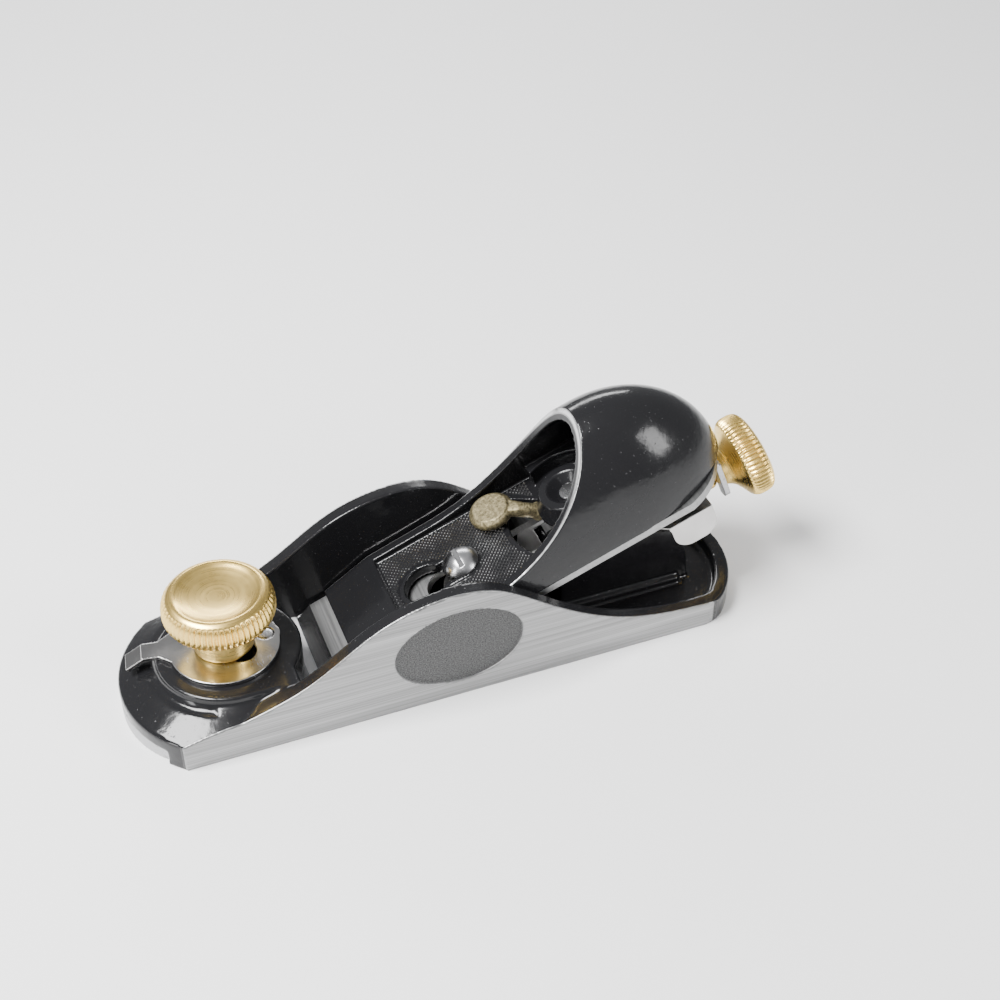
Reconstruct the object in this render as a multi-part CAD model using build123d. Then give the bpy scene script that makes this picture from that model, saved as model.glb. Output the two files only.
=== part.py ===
from build123d import *
import math
import os

# Adjustable-mouth block plane, assembled, in millimetres.
#
# Frame: +X towards the toe, +Y to the plane's left, +Z up. The origin is on the sole,
# on the centre line, at the middle of the body's length.
#
# Everything on the sloping bed is drawn in the bed frame: s runs up the bed from the
# mouth towards the heel, t across it (t = -Y), n square to it, with the blade's
# underside at n = 0. The lever cap has the same axes, moved to its own front lip.

# Body casting
BODY_LENGTH = 158.75
BODY_WIDTH = 44.5
TOE_X = 79.5
HEEL_X = TOE_X - BODY_LENGTH
TOE_CORNER_X = 69.0
HEEL_CORNER_X = -68.0
HEEL_CORNER_RADIUS = 9.0
WALL = 3.65
FLOOR = 3.4
HUMP_TOP = 32.8
RIM_HEIGHT = 7.2
OVAL_X = 1.4
OVAL_Z = 15.9
OVAL_LENGTH = 32.6
OVAL_HEIGHT = 22.6
OVAL_DEPTH = 0.6

# Bed, on which the blade lies
BED_ANGLE = 21.0
BED_FOOT_X = 32.0

# Nose deck and adjustable mouth
DECK_Z = 14.0
DECK_REAR_FOOT_X = 36.5
DECK_REAR_TOP_X = 39.5
PLATFORM_X = 52.5
PLATFORM_RADIUS = 17.5
TOE_PLATE_THICKNESS = 4.0
TOE_PLATE_WIDTH = 37.0
TOE_PLATE_REAR_X = 35.0
TOE_SLOT_HEIGHT = 4.1
STUD_X = 53.3
STUD_RADIUS = 3.0
STUD_TOP = 23.0
MOUTH_TRAVEL = 2.0

# Eccentric lever, which moves the toe plate
PIVOT_X = 43.3
PIVOT_RADIUS = 2.1
LEVER_PLATE = 1.2
LEVER_SWING = 25.0
LEVER_ARM_ANGLE = -9.0

# Finger knob
KNOB_RIM_RADIUS = 13.5
KNOB_NECK_RADIUS = 7.3
KNOB_HEIGHT = 17.0

# Blade
BLADE_WIDTH = 35.0
BLADE_LENGTH = 113.0
BLADE_THICKNESS = 2.2
BEVEL_ANGLE = 25.0
BLADE_SET_BACK = 0.3
SLOT_START = 33.0
SLOT_END = 82.0
SLOT_WIDTH = 10.0
CROSS_SLOTS = (88.0, 94.8, 101.4)
CROSS_SLOT_LENGTH = 10.0
CROSS_SLOT_WIDTH = 2.0

# Cap screw and its boss
SCREW_S = 44.0
SCREW_RADIUS = 3.0
SCREW_HEAD_RADIUS = 4.8
BOSS_RADIUS = 6.5
BOSS_TOP = -1.75

# Tower behind the boss
TOWER_FRONT_X = -31.0
TOWER_TOP = -3.2
TOWER_END_S = 95.0
TOWER_HALF_WIDTH = 7.0
CHANNEL_HALF_WIDTH = 3.4
CHANNEL_END_S = 88.0

# Lateral yoke
YOKE_PLATE = 1.5
YOKE_ARM_TOP = -0.2
YOKE_FRAME_TOP = -4.4
YOKE_END_S = 105.0

# Adjuster slide, screw and depth knob
SLIDE_PLATE = 1.5
SLIDE_TOP = -1.6
SLIDE_HALF_WIDTH = 7.0
SLIDE_START_S = 70.0
FORK_S = 111.65
NIB_S = CROSS_SLOTS[0] + BLADE_SET_BACK
ROD_N = -10.4
ROD_RADIUS = 2.3
ROD_START_S = 76.0
NECK_RADIUS = 2.9
COLLAR_RADIUS = 3.6
DEPTH_KNOB_RADIUS = 11.0
DEPTH_KNOB_END_S = 124.5

# Lever cap, measured from its own front lip: p along, t across, h above the blade
CAP_START_S = 10.0
CAP_GAP = 0.05
CAP_LENGTH = 105.0
CAP_HALF_WIDTH = 18.0
CAP_WALL = 2.7
HOOD_RADIUS = 29.0
LIP_LENGTH = 15.0
CAP_FLOOR_LOW = 0.8
CAP_FLOOR_TOP = 3.4
LEDGE_START_P = 60.0
LEDGE_TOP = 8.0
LEDGE_RADIUS = 12.8
KEYHOLE_LARGE_P = 24.0
KEYHOLE_LARGE_RADIUS = 5.6
KEYHOLE_SMALL_RADIUS = 3.5
KEYHOLE_BORDER = 0.5
CAM_P = 66.0
CAM_SWING = 24.0
CAM_REACH = 20.8

# Clearances
FIT = 0.05
SLIP = 0.1


def turned(corners):
    """A solid of revolution about the local Z axis, from (radius, height) corners."""
    ends = [(0, corners[0][1])], [(0, corners[-1][1])]
    profile = make_face(Polyline(*ends[0], *corners, *ends[1], close=True))
    return revolve(Plane.XZ * profile, Axis.Z)


def side_prism(face, half_width):
    """A face drawn in X and Z, extruded both ways along Y."""
    return extrude(Plane.XZ * face, half_width, both=True)


def bed_plane(s=0.0, t=0.0, n=0.0):
    """The bed frame, moved to a point on the bed."""
    slope = math.radians(BED_ANGLE)
    up_bed = Vector(-math.cos(slope), 0, math.sin(slope))
    normal = Vector(math.sin(slope), 0, math.cos(slope))
    across = Vector(0, -1, 0)
    origin = Vector(BED_FOOT_X, 0, 0) + up_bed * s + across * t + normal * n
    return Plane(origin=origin, x_dir=up_bed, z_dir=normal)


def on_bed(solid):
    """A solid drawn in the bed frame, put in the plane's frame."""
    return bed_plane().location * solid


def on_cap(solid):
    """A solid drawn in the lever cap's frame, put in the plane's frame."""
    return bed_plane(s=CAP_START_S, n=BLADE_THICKNESS + CAP_GAP).location * solid


def block(x_range, y_range, z_range):
    """A box between two values on each axis."""
    size = [high - low for low, high in (x_range, y_range, z_range)]
    middle = [(high + low) / 2 for low, high in (x_range, y_range, z_range)]
    return Pos(*middle) * Box(*size)


def disc(radius, z_range, x=0.0, y=0.0):
    """A cylinder along the local Z axis between two heights."""
    low, high = z_range
    return Pos(x, y, (low + high) / 2) * Cylinder(radius, high - low)


def rod(radius, s_range, n):
    """A cylinder along the bed direction between two values of s."""
    low, high = s_range
    return Pos((low + high) / 2, 0, n) * Rot(0, 90, 0) * Cylinder(radius, high - low)


def oblong(start, end, radius, z_range):
    """A round-ended slot shape along X between two centres."""
    low, high = z_range
    ends = disc(radius, z_range, start) + disc(radius, z_range, end)
    return ends + block((start, end), (-radius, radius), (low, high))


def body_outline():
    """The casting's outline seen from above."""
    half = BODY_WIDTH / 2
    toe = ThreePointArc((TOE_CORNER_X, -half), (TOE_X, 0), (TOE_CORNER_X, half))
    left = Line((TOE_CORNER_X, half), (HEEL_CORNER_X, half))
    heel = ThreePointArc((HEEL_CORNER_X, half), (HEEL_X, 0), (HEEL_CORNER_X, -half))
    right = Line((HEEL_CORNER_X, -half), (TOE_CORNER_X, -half))
    outline = make_face([toe, left, heel, right])
    heel_corners = outline.vertices().sort_by(Axis.X)[:2]
    return fillet(heel_corners, HEEL_CORNER_RADIUS)


def wall_profile():
    """The side walls' shape seen from the side: low at both ends, humped amidships."""
    crest = Spline(
        (TOE_X + 1, RIM_HEIGHT - 0.2),
        (66, RIM_HEIGHT + 0.4),
        (52, 11.2),
        (40, 15.6),
        (30, 22.0),
        (20, 28.4),
        (10, 31.9),
        (1.5, HUMP_TOP),
        (-7, 31.3),
        (-19, 23.8),
        (-33, 14.6),
        (-47, 9.2),
        (-62, RIM_HEIGHT + 0.2),
        (HEEL_X - 1, RIM_HEIGHT - 0.6),
    )
    base = Polyline(crest @ 1, (HEEL_X - 1, 0), (TOE_X + 1, 0), crest @ 0)
    return make_face([crest, base])


def well_profile():
    """The space between the walls, seen from the side, with the bed and the mouth."""
    bed_rise = math.tan(math.radians(BED_ANGLE))
    return make_face(
        Polyline(
            (HEEL_X - 5, FLOOR),
            (BED_FOOT_X - FLOOR / bed_rise, FLOOR),
            (BED_FOOT_X, 0),
            (BED_FOOT_X, -1),
            (DECK_REAR_FOOT_X, -1),
            (DECK_REAR_FOOT_X, TOE_SLOT_HEIGHT),
            (DECK_REAR_TOP_X, DECK_Z),
            (TOE_X + 5, DECK_Z),
            (TOE_X + 5, HUMP_TOP + 5),
            (HEEL_X - 5, HUMP_TOP + 5),
            close=True,
        )
    )


def bed_supports():
    """Wedges at both ends of the bed strip, flush with it, that carry the blade."""
    length = 19.0
    rise = length * math.tan(math.radians(BED_ANGLE))
    face = make_face(
        Polyline(
            (BED_FOOT_X - 2, 0.2),
            (BED_FOOT_X - length, 0.2),
            (BED_FOOT_X - length, rise),
            (BED_FOOT_X - 2, 2 * math.tan(math.radians(BED_ANGLE))),
            close=True,
        )
    )
    inner = BODY_WIDTH / 2 - WALL
    width = 5.6
    wedge = extrude(Plane.XZ * face, width)
    return Pos(0, inner + 0.5, 0) * wedge + Pos(0, width - inner - 0.5, 0) * wedge


def tower():
    """The post behind the boss: two machined rails joined at the rear."""
    foot = bed_plane(s=0, n=TOWER_TOP)
    slope = math.tan(math.radians(BED_ANGLE))
    rear_top = bed_plane(s=TOWER_END_S, n=TOWER_TOP).origin
    front_top_z = foot.origin.Z + (foot.origin.X - TOWER_FRONT_X) * slope
    back = ThreePointArc((rear_top.X, rear_top.Z), (-63.6, 21.0), (-67.0, FLOOR - 1))
    front = Polyline(
        back @ 1, (TOWER_FRONT_X, FLOOR - 1), (TOWER_FRONT_X, front_top_z), back @ 0
    )
    post = side_prism(make_face([back, front]), TOWER_HALF_WIDTH)
    side = CHANNEL_HALF_WIDTH
    channel = block((55, CHANNEL_END_S), (-side, side), (-15.0, 2))
    pad = block((CHANNEL_END_S - 1, TOWER_END_S - 2.5), (-side, side), (TOWER_TOP - 0.8, 2))
    thread = rod(ROD_RADIUS + FIT, (CHANNEL_END_S - 2, TOWER_END_S + 12), ROD_N)
    foot_pad = block((TOWER_FRONT_X - 33, TOWER_FRONT_X - 1), (-8.6, 8.6), (FLOOR - 1, 5.2))
    return post + foot_pad - on_bed(channel + pad + thread)


def screw_boss():
    """The leaning boss that the cap screw threads into, with its cross rib."""
    boss = on_bed(disc(BOSS_RADIUS, (-20, BOSS_TOP), SCREW_S))
    half = BODY_WIDTH / 2 - WALL + 0.5
    rib = block((-15.5, -12.5), (-half, half), (FLOOR - 1, 10.0))
    keep = block((-40, 20), (-half, half), (FLOOR - 1, 40))
    return (boss & keep) + rib


def nose():
    """The raised platform under the finger knob and the slope around it."""
    low = TOE_SLOT_HEIGHT
    platform = disc(PLATFORM_RADIUS, (low, DECK_Z), PLATFORM_X)
    deck = block(
        (DECK_REAR_TOP_X, PLATFORM_X), (-PLATFORM_RADIUS, PLATFORM_RADIUS), (low, DECK_Z)
    )
    skirt = Pos(PLATFORM_X, 0, 9.3) * Cone(31.5, 17.0, 6.6)
    scoop = Pos(PLATFORM_X, 0, 13.3) * Torus(PLATFORM_RADIUS + 2.3, 2.2)
    toe_side = block((PLATFORM_X + 7, TOE_X), (-30, 30), (0, 30))
    ahead = block((DECK_REAR_TOP_X, TOE_X + 5), (-30, 30), (0, 30))
    return platform + deck + (skirt & ahead) - (scoop & toe_side)


def side_ovals():
    """The shallow oval grips, one in each ground side."""
    oval = Ellipse(OVAL_LENGTH / 2, OVAL_HEIGHT / 2)
    depth = BODY_WIDTH / 2 - OVAL_DEPTH
    plate = extrude(Plane.XZ * Pos(OVAL_X, OVAL_Z) * oval, 5)
    return Pos(0, -depth, 0) * plate + Pos(0, depth + 5, 0) * plate


def body_casting():
    outline = body_outline()
    prism = extrude(outline, HUMP_TOP + 2)
    shell = prism & side_prism(wall_profile(), BODY_WIDTH)
    well_plan = extrude(offset(outline, -WALL), HUMP_TOP + 10, both=True)
    inner = BODY_WIDTH / 2 - WALL
    lane = block((0, TOE_X + 5), (-inner, inner), (-10, HUMP_TOP + 10))
    well = (well_plan + lane) & side_prism(well_profile(), BODY_WIDTH)
    toe_slot = block((BED_FOOT_X, TOE_X + 5), (-inner, inner), (-1, TOE_SLOT_HEIGHT))
    body = shell - well + (nose() & prism)
    body += (tower() + screw_boss() + bed_supports()) & prism
    body -= toe_slot
    body -= side_ovals()
    body -= on_bed(disc(SCREW_RADIUS + FIT, (-11.5, 2), SCREW_S))
    reach = MOUTH_TRAVEL + 0.3
    body -= oblong(STUD_X - reach, STUD_X + reach, STUD_RADIUS + 0.3, (0, DECK_Z + 1))
    body -= disc(PIVOT_RADIUS, (8, DECK_Z + 1), PIVOT_X)
    return body


def toe_plate():
    half = TOE_PLATE_WIDTH / 2
    corner = TOE_CORNER_X + 2.2
    front = ThreePointArc((corner, -half), (TOE_X, 0), (corner, half))
    rear = Polyline(front @ 1, (TOE_PLATE_REAR_X, half), (TOE_PLATE_REAR_X, -half), front @ 0)
    plate = extrude(make_face([front, rear]), TOE_PLATE_THICKNESS)
    corners = plate.edges().filter_by(Axis.Z).sort_by(Axis.X)[:2]
    plate = fillet(corners, 1.0)
    plate -= disc(STUD_RADIUS, (-1, TOE_PLATE_THICKNESS + 1), STUD_X)
    ring = Pos(STUD_X, 0, TOE_PLATE_THICKNESS - 0.4) * Cone(4.2, 4.9, 0.8)
    return plate - ring


def toe_plate_stud():
    stud = disc(STUD_RADIUS, (0.2, STUD_TOP - 0.6), STUD_X)
    tip = Pos(STUD_X, 0, STUD_TOP - 0.3) * Cone(STUD_RADIUS, STUD_RADIUS - 0.6, 0.6)
    swage = Pos(STUD_X, 0, TOE_PLATE_THICKNESS - 0.4) * Cone(4.2, 4.7, 0.7)
    return stud + tip + swage


def eccentric_lever():
    """The plate that pushes the stud, and so the toe plate, as it swings."""
    reach = STUD_X - PIVOT_X
    shift = MOUTH_TRAVEL / math.sin(math.radians(LEVER_SWING))
    slot_radius = math.hypot(reach, shift)
    low = DECK_Z + FIT
    high = low + LEVER_PLATE
    head = disc(13.2, (low, high), reach)
    nose_tip = disc(3.6, (low, high))
    bridge_face = make_face(
        Polyline((-1.4, 3.3), (5.2, 12.2), (5.2, -12.2), (-1.4, -3.3), close=True)
    )
    bridge = Pos(0, 0, low) * extrude(bridge_face, LEVER_PLATE)
    arm = block((reach + 9, 29.5), (-2.6, 2.6), (low, high))
    neck_face = make_face(
        Polyline((19.0, 8.0), (25.5, 2.6), (25.5, -2.6), (19.0, -8.0), close=True)
    )
    neck = Pos(0, 0, low) * extrude(neck_face, LEVER_PLATE)
    tip = Pos(29.2, 0, high) * Rot(0, 32, 0) * block((0, 5.2), (-2.6, 2.6), (-LEVER_PLATE, 0))
    handle = Rot(0, 0, LEVER_ARM_ANGLE) * (arm + neck + tip)
    plate = head + nose_tip + bridge + handle
    half_chord = reach * math.radians(LEVER_SWING + 5) / 2
    half_angle = math.degrees(2 * math.asin(half_chord / slot_radius))
    half_width = STUD_RADIUS + 0.4
    ring = Pos(0, -shift, (low + high) / 2) * (
        Cylinder(slot_radius + half_width, 4) - Cylinder(slot_radius - half_width, 4)
    )
    turn_to_stud = math.degrees(math.atan2(shift, reach))
    spread = 40 * math.tan(math.radians(half_angle))
    wedge_face = make_face(Polyline((0, 0), (40, spread), (40, -spread), close=True))
    wedge = Pos(0, -shift, low - 2) * Rot(0, 0, turn_to_stud) * extrude(wedge_face, 8)
    slot = ring & wedge
    for side in (-1, 1):
        angle = math.radians(turn_to_stud + side * half_angle)
        x = slot_radius * math.cos(angle)
        y = slot_radius * math.sin(angle) - shift
        slot += disc(half_width, (low - 2, high + 2), x, y)
    hole = disc(PIVOT_RADIUS + FIT, (low - 1, high + 1))
    return Pos(PIVOT_X, 0, 0) * (plate - slot - hole)


def eccentric_pivot():
    top = DECK_Z + FIT + LEVER_PLATE
    return disc(PIVOT_RADIUS, (8, top - 0.1), PIVOT_X)


def finger_knob():
    base = DECK_Z + FIT + LEVER_PLATE + SLIP
    top = base + KNOB_HEIGHT
    rim = KNOB_RIM_RADIUS
    neck = KNOB_NECK_RADIUS
    profile = [
        (neck, base),
        (neck, base + 6.2),
        (neck + 2.2, base + 8.6),
        (rim - 1.2, top - 7.6),
        (rim, top - 6.0),
        (rim, top - 3.0),
        (rim - 0.9, top - 1.0),
        (rim - 2.6, top),
        (rim - 4.4, top - 0.7),
        (rim - 8.0, top - 1.5),
    ]
    knob = turned(profile)
    bore = disc(STUD_RADIUS + FIT, (base - 1, STUD_TOP + 1.5))
    return Pos(STUD_X, 0, 0) * (knob - bore)


def lateral_yoke():
    """The stamped lever under the blade that the rear flanges swing sideways."""
    arm_low = YOKE_ARM_TOP - YOKE_PLATE
    frame_low = YOKE_FRAME_TOP - YOKE_PLATE
    frame_range = (frame_low, YOKE_FRAME_TOP)
    ring = disc(7.0, (arm_low, YOKE_ARM_TOP), SCREW_S)
    collar = disc(4.8, (YOKE_ARM_TOP, BLADE_THICKNESS - 0.3), SCREW_S)
    arm = block((SCREW_S, 53.5), (-6, 6), (arm_low, YOKE_ARM_TOP))
    step_face = make_face(
        Polyline(
            (53.0, arm_low),
            (53.0, YOKE_ARM_TOP),
            (53.9, YOKE_ARM_TOP),
            (57.4, YOKE_FRAME_TOP),
            (57.4, frame_low),
            (56.4, frame_low),
            close=True,
        )
    )
    step = side_prism(step_face, 6)
    frame_face = make_face(
        Polyline(
            (57.0, 6.6),
            (59.0, 7.2),
            (60.5, 10.6),
            (65.0, 11.2),
            (90.0, 12.4),
            (93.0, 15.0),
            (YOKE_END_S, 15.0),
            (YOKE_END_S, -15.0),
            (93.0, -15.0),
            (90.0, -12.4),
            (65.0, -11.2),
            (60.5, -10.6),
            (59.0, -7.2),
            (57.0, -6.6),
            close=True,
        )
    )
    frame = Pos(0, 0, frame_low) * extrude(frame_face, YOKE_PLATE)
    window_face = make_face(
        Polyline((64.4, 8.0), (97.5, 9.2), (97.5, -9.2), (64.4, -8.0), close=True)
    )
    window = Pos(0, 0, frame_low - 1) * extrude(window_face, YOKE_PLATE + 2)
    yoke = ring + collar + arm + step + frame - window
    yoke -= disc(SCREW_RADIUS + 0.3, (arm_low - 1, 5), SCREW_S)
    for side in (-1, 1):
        lug = block((84, 88), (-0.9, 0.9), (YOKE_FRAME_TOP - 0.5, SLIDE_TOP - 0.3))
        yoke += Pos(0, side * 9.2, 0) * lug
        flange = block((93, YOKE_END_S), (-YOKE_PLATE / 2, YOKE_PLATE / 2), (-13.5, YOKE_FRAME_TOP))
        lower = flange.edges().filter_by(Axis.Y).group_by(Axis.Z)[0]
        yoke += Pos(0, side * (15.0 - YOKE_PLATE / 2), 0) * fillet(lower, 4.5)
    yoke -= block((99.6, 102.8), (-9.0, 9.0), (YOKE_FRAME_TOP - 0.7, YOKE_FRAME_TOP + 1))
    for index in range(8):
        rib = block((99.6, 102.8), (-0.45, 0.45), (YOKE_FRAME_TOP - 1.0, YOKE_FRAME_TOP - 0.1))
        yoke += Pos(0, -7.7 + 2.2 * index, 0) * rib
    return on_bed(yoke)


def adjuster_slide():
    """The plate that carries the blade's nib and hangs a fork on the screw's neck."""
    low = SLIDE_TOP - SLIDE_PLATE
    half = SLIDE_HALF_WIDTH
    fork_front = FORK_S - 0.75
    plate = block((SLIDE_START_S, fork_front + 1.5), (-half, half), (low, SLIDE_TOP))
    plate = fillet(plate.edges().filter_by(Axis.Z), 1.5)
    hump_face = make_face(
        Polyline(
            (NIB_S - 3.2, SLIDE_TOP - 0.5),
            (NIB_S - 0.9, -0.15),
            (NIB_S + 0.9, -0.15),
            (NIB_S + 8.8, SLIDE_TOP - 0.5),
            close=True,
        )
    )
    hump = Pos(0, 0.5, 0) * side_prism(hump_face, 3.6)
    slit = block((NIB_S + 1.4, NIB_S + 7.0), (-3.2, -2.4), (low - 1, 0.5))
    nib = block((NIB_S - 0.7, NIB_S + 0.7), (-3.7, 3.7), (-0.4, BLADE_THICKNESS - 0.2))
    tab = block((fork_front, fork_front + 1.5), (-half, half), (ROD_N - 4.6, SLIDE_TOP - 0.4))
    lower = tab.edges().filter_by(Axis.X).group_by(Axis.Z)[0]
    tab = fillet(lower, 3.4)
    opening = rod(NECK_RADIUS + FIT, (fork_front - 1, fork_front + 3), ROD_N)
    gap = NECK_RADIUS + FIT
    opening += block((fork_front - 1, fork_front + 3), (-gap, gap), (ROD_N - 9, ROD_N))
    return on_bed(plate + hump + nib + (tab - opening) - slit)


def adjusting_screw():
    neck_start = FORK_S - 0.95
    neck_end = FORK_S + 0.95
    screw = rod(ROD_RADIUS, (ROD_START_S + 0.8, neck_start), ROD_N)
    tip = Rot(0, 90, 0) * Cone(ROD_RADIUS - 0.8, ROD_RADIUS, 0.8)
    screw += Pos(ROD_START_S + 0.4, 0, ROD_N) * tip
    screw += rod(COLLAR_RADIUS, (neck_start - 3.6, neck_start), ROD_N)
    screw += rod(NECK_RADIUS, (neck_start, neck_end), ROD_N)
    screw += rod(ROD_RADIUS, (neck_end, neck_end + 5), ROD_N)
    return on_bed(screw)


def depth_knob():
    start = FORK_S + 0.95
    end = DEPTH_KNOB_END_S
    rim = DEPTH_KNOB_RADIUS
    profile = [
        (4.4, start),
        (4.8, start + 1.6),
        (6.6, start + 3.2),
        (rim - 1.4, start + 5.2),
        (rim, start + 6.8),
        (rim, end - 2.2),
        (rim - 1.6, end - 0.5),
        (rim - 4.0, end),
    ]
    knob = turned(profile) - disc(ROD_RADIUS, (start - 1, start + 5))
    return on_bed(Pos(0, 0, ROD_N) * Rot(0, 90, 0) * knob)


def blade():
    start = BLADE_SET_BACK
    half = BLADE_WIDTH / 2
    bevel = BLADE_THICKNESS / math.tan(math.radians(BEVEL_ANGLE))
    side = make_face(
        Polyline(
            (start, 0),
            (start + bevel, BLADE_THICKNESS),
            (start + BLADE_LENGTH, BLADE_THICKNESS),
            (start + BLADE_LENGTH, 0),
            close=True,
        )
    )
    bar = side_prism(side, half)
    end = start + BLADE_LENGTH
    arc = ThreePointArc((end - 13.5, half), (end, 0), (end - 13.5, -half))
    plan = make_face([arc, Polyline(arc @ 1, (-5, -half), (-5, half), arc @ 0)])
    iron = bar & extrude(plan, 5, both=True)
    through = (-1, BLADE_THICKNESS + 1)
    slot_half = SLOT_WIDTH / 2
    iron -= disc(slot_half, through, start + SLOT_START + slot_half)
    iron -= block(
        (start + SLOT_START + slot_half, start + SLOT_END), (-slot_half, slot_half), through
    )
    for s in CROSS_SLOTS:
        across = (-CROSS_SLOT_LENGTH / 2, CROSS_SLOT_LENGTH / 2)
        middle = start + s
        cut = block((middle - CROSS_SLOT_WIDTH / 2, middle + CROSS_SLOT_WIDTH / 2), across, through)
        iron -= cut
    return on_bed(iron)


def hood_form(shrink):
    """The lever cap's outer or inner form: an arch along p, closed by a dome."""
    height = HOOD_RADIUS - shrink
    half = CAP_HALF_WIDTH - shrink
    centre_p = CAP_LENGTH - HOOD_RADIUS
    tunnel = Pos(-5, 0, 0) * extrude(Plane.YZ * Ellipse(half, height), centre_p + 5)
    half_ellipse = Ellipse(height, half) & Pos(height, 0) * Rectangle(2 * height, 4 * half)
    dome = revolve(half_ellipse, Axis.Y)
    return tunnel + Pos(centre_p, 0, 0) * dome


def rim_cut():
    """What is open above the cap's rim: low along the panel, up over the hood's mouth."""
    start_p = 30.0
    start_h = 5.2
    end_p = 75.0
    end_h = HOOD_RADIUS + 1.0
    rise = end_h - start_h
    run = end_p - start_p
    radius = (run * run + rise * rise) / (2 * rise)
    middle = math.asin(run / radius) / 2
    mid_point = (start_p + radius * math.sin(middle), start_h + radius * (1 - math.cos(middle)))
    sweep_up = ThreePointArc((start_p, start_h), mid_point, (end_p, end_h))
    rest = Polyline(
        (end_p, end_h),
        (end_p, 45),
        (-10, 45),
        (-10, 1.3),
        (0, 1.3),
        (LIP_LENGTH - 1, 4.9),
        (start_p, start_h),
    )
    return side_prism(make_face([sweep_up, rest]), 40)


def lever_cap():
    """The cap: knurled tray, keyhole, arched hood, and a ledge round the cam's boss."""
    half = CAP_HALF_WIDTH
    outer = hood_form(0) & block((0, CAP_LENGTH + 5), (-half, half), (0, 40))
    inner = hood_form(CAP_WALL)
    hollow = inner & block((LIP_LENGTH, CAP_LENGTH), (-half, half), (CAP_FLOOR_TOP, 40))
    under = inner & block((2.5, CAP_LENGTH), (-half, half), (-1, CAP_FLOOR_LOW))
    shelf = hood_form(CAP_WALL - 0.3) & block(
        (LEDGE_START_P, CAP_LENGTH), (-half, half), (CAP_FLOOR_TOP - 0.3, LEDGE_TOP)
    )
    shelf -= disc(LEDGE_RADIUS, (0, LEDGE_TOP + 1), CAM_P)
    cap = outer - hollow - under - rim_cut() + shelf
    boss = Pos(CAM_P, 0, 6.2) * Cone(9.6, 7.4, 5.8)
    cap += boss
    screw_p = SCREW_S - CAP_START_S
    border = (CAP_FLOOR_TOP - 0.5, CAP_FLOOR_TOP + KEYHOLE_BORDER)
    cap += disc(KEYHOLE_LARGE_RADIUS + 1.5, border, KEYHOLE_LARGE_P)
    cap += oblong(KEYHOLE_LARGE_P, screw_p, KEYHOLE_SMALL_RADIUS + 1.5, border)
    through = (-1, CAP_FLOOR_TOP + 2)
    cap -= disc(KEYHOLE_LARGE_RADIUS, through, KEYHOLE_LARGE_P)
    cap -= oblong(KEYHOLE_LARGE_P, screw_p, KEYHOLE_SMALL_RADIUS, through)
    roof = CAP_FLOOR_TOP + 0.5
    cap -= disc(6.6, (-1, roof), CAM_P)
    spread = math.radians(CAM_SWING + 17)
    reach = 17.5
    wedge = make_face(
        Polyline(
            (0, 0),
            (-30, 30 * math.tan(spread)),
            (-30, -30 * math.tan(spread)),
            close=True,
        )
    )
    window = Pos(CAM_P, 0, -1) * extrude(wedge, roof + 1)
    cap -= window & disc(reach, (-1, roof), CAM_P)
    cap -= disc(1.5, (0, 12), CAM_P)
    cap -= Pos(CAM_P, 0, 8.0) * Cone(2.6, 5.4, 2.4)
    return on_cap(cap)


def cam_rivet():
    shank = disc(1.5, (0.95, 6.8), CAM_P)
    head = disc(2.45, (6.8, 7.4), CAM_P)
    foot = disc(2.3, (0.35, 0.95), CAM_P)
    return on_cap(shank + head + foot)


def cam_lever():
    """The cast thumb lever: a hub on the rivet, a rising arm and a thumb disc."""
    hub = disc(5.2, (0.25, 3.6))
    arm_low = Pos(-9.3, 0, 2.0) * Box(11.0, 3.6, 2.8)
    knee = Pos(-14.0, 0, 3.4) * Box(3.0, 3.6, 5.6)
    arm_high = Pos(-16.2, 0, 5.2) * Box(5.0, 3.4, 2.2)
    thumb = disc(5.8, (4.2, 7.6), -CAM_REACH)
    lever = hub + arm_low + knee + arm_high + thumb
    lever -= disc(1.5 + FIT, (-1, 5))
    lever -= disc(2.3 + SLIP, (-1, 0.95 + FIT))
    return on_cap(Pos(CAM_P, 0, 0) * Rot(0, 0, -CAM_SWING) * lever)


def cap_screw():
    head_low = BLADE_THICKNESS + CAP_GAP + CAP_FLOOR_TOP + KEYHOLE_BORDER + SLIP
    shank = disc(SCREW_RADIUS, (-9.0, head_low + 0.5), SCREW_S)
    sphere_radius = 5.6
    ball = Pos(SCREW_S, 0, head_low + 3.1 - sphere_radius) * Sphere(sphere_radius)
    head = ball & disc(SCREW_HEAD_RADIUS, (head_low, head_low + 4), SCREW_S)
    drive = block(
        (SCREW_S - 0.6, SCREW_S + 0.6), (-6, 6), (head_low + 1.9, head_low + 5)
    )
    return on_bed(shank + head - drive)


PIECES = {
    "body_casting": body_casting,
    "toe_plate": toe_plate,
    "toe_plate_stud": toe_plate_stud,
    "eccentric_lever": eccentric_lever,
    "eccentric_pivot": eccentric_pivot,
    "finger_knob": finger_knob,
    "lateral_yoke": lateral_yoke,
    "adjuster_slide": adjuster_slide,
    "adjusting_screw": adjusting_screw,
    "depth_knob": depth_knob,
    "blade": blade,
    "lever_cap": lever_cap,
    "cam_rivet": cam_rivet,
    "cam_lever": cam_lever,
    "cap_screw": cap_screw,
}

os.makedirs("parts", exist_ok=True)
for name, make in PIECES.items():
    export_step(make(), f"parts/{name}.step")
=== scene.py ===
"""Looks of the block plane: meshes, materials, floor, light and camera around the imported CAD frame."""

import bpy
import math
import numpy as np
from mathutils import Matrix, Vector


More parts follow.
